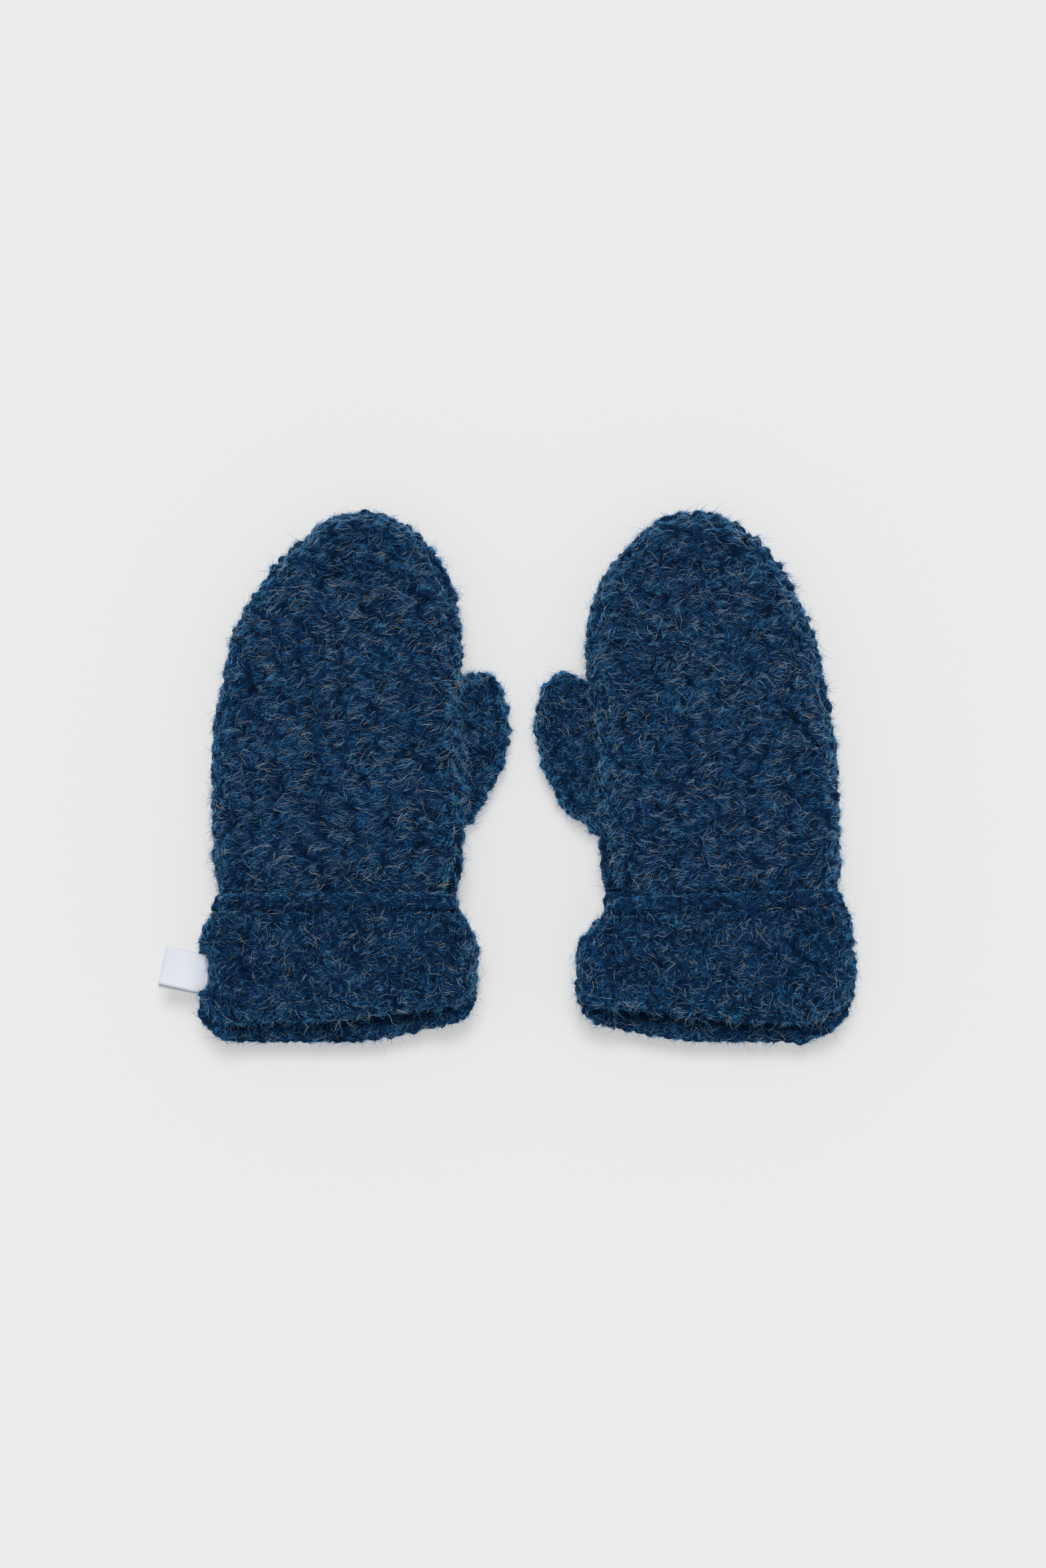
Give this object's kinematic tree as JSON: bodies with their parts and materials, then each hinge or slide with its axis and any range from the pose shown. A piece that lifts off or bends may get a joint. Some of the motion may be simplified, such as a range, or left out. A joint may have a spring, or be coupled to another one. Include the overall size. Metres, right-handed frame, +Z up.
{
  "type": "flip-top mittens",
  "caption": "Pair of pile-fabric mittens with turned-up cuffs, flip-back fingertip caps and separate thumbs, lying flat, palms down.",
  "frame": {"origin": "middle of the pair's bounding box, on the surface that the mittens lie on", "axes": "+X towards the right-hand mitten, +Y towards the fingertips, +Z up through the backs of the hands"},
  "size_m": [0.3294, 0.25, 0.032],
  "materials": {
    "pile_fabric": "curly wool pile, heathered blue with fine pale hairs",
    "hem_fabric": "felted hem of the same fabric with the pile flattened by stitching",
    "label_satin": "blank white satin ribbon"
  },
  "bodies": {
    "left_hand": {"left_hand_back": "pile_fabric", "left_hand_palm": "pile_fabric", "left_palm_hem": "hem_fabric", "left_thumb_gusset": "pile_fabric", "left_wrist_sleeve": "pile_fabric"},
    "left_cap": {"left_cap_back": "pile_fabric", "left_cap_palm": "pile_fabric", "left_cap_hem": "hem_fabric"},
    "left_thumb": {"left_thumb_back": "pile_fabric", "left_thumb_palm": "pile_fabric"},
    "left_cuff": {"left_cuff_back": "pile_fabric", "left_cuff_palm": "pile_fabric", "left_cuff_hem": "hem_fabric"},
    "right_hand": {"right_hand_back": "pile_fabric", "right_hand_palm": "pile_fabric", "right_palm_hem": "hem_fabric", "right_thumb_gusset": "pile_fabric", "right_wrist_sleeve": "pile_fabric"},
    "right_cap": {"right_cap_back": "pile_fabric", "right_cap_palm": "pile_fabric", "right_cap_hem": "hem_fabric"},
    "right_thumb": {"right_thumb_back": "pile_fabric", "right_thumb_palm": "pile_fabric"},
    "right_cuff": {"right_cuff_back": "pile_fabric", "right_cuff_palm": "pile_fabric", "right_cuff_hem": "hem_fabric"},
    "left_label": {"left_label": "label_satin"}
  },
  "joints": [
    {"name": "left_cap_flip", "type": "hinge", "parent": "left_hand", "child": "left_cap", "pos_m": [-0.08075, 0.07, 0.033], "axis": [1, 0, 0], "range_deg": [0, 170]},
    {"name": "left_thumb_swing", "type": "hinge", "parent": "left_hand", "child": "left_thumb", "pos_m": [-0.00153, -0.00494, 0.007], "axis": [0, 0, -1], "range_deg": [0, 14]},
    {"name": "left_cuff_slide", "type": "slide", "parent": "left_hand", "child": "left_cuff", "axis": [0, -1, 0], "range_m": [0, 0.045]},
    {"name": "right_cap_flip", "type": "hinge", "parent": "right_hand", "child": "right_cap", "pos_m": [0.09925, 0.07, 0.033], "axis": [1, 0, 0], "range_deg": [0, 170]},
    {"name": "right_thumb_swing", "type": "hinge", "parent": "right_hand", "child": "right_thumb", "pos_m": [0.02003, -0.00494, 0.007], "axis": [0, 0, 1], "range_deg": [0, 14]},
    {"name": "right_cuff_slide", "type": "slide", "parent": "right_hand", "child": "right_cuff", "axis": [0, -1, 0], "range_m": [0, 0.045]},
    {"name": "left_label_flip", "type": "hinge", "parent": "left_cuff", "child": "left_label", "pos_m": [-0.14775, -0.093, 0.016], "axis": [0, 1, 0], "range_deg": [-25, 75], "stiffness_Nm_per_rad": 0.0005},
    {"name": "right_mitten_apart", "type": "slide", "parent": "left_hand", "child": "right_hand", "axis": [1, 0, 0], "range_m": [0, 0.12]}
  ]
}
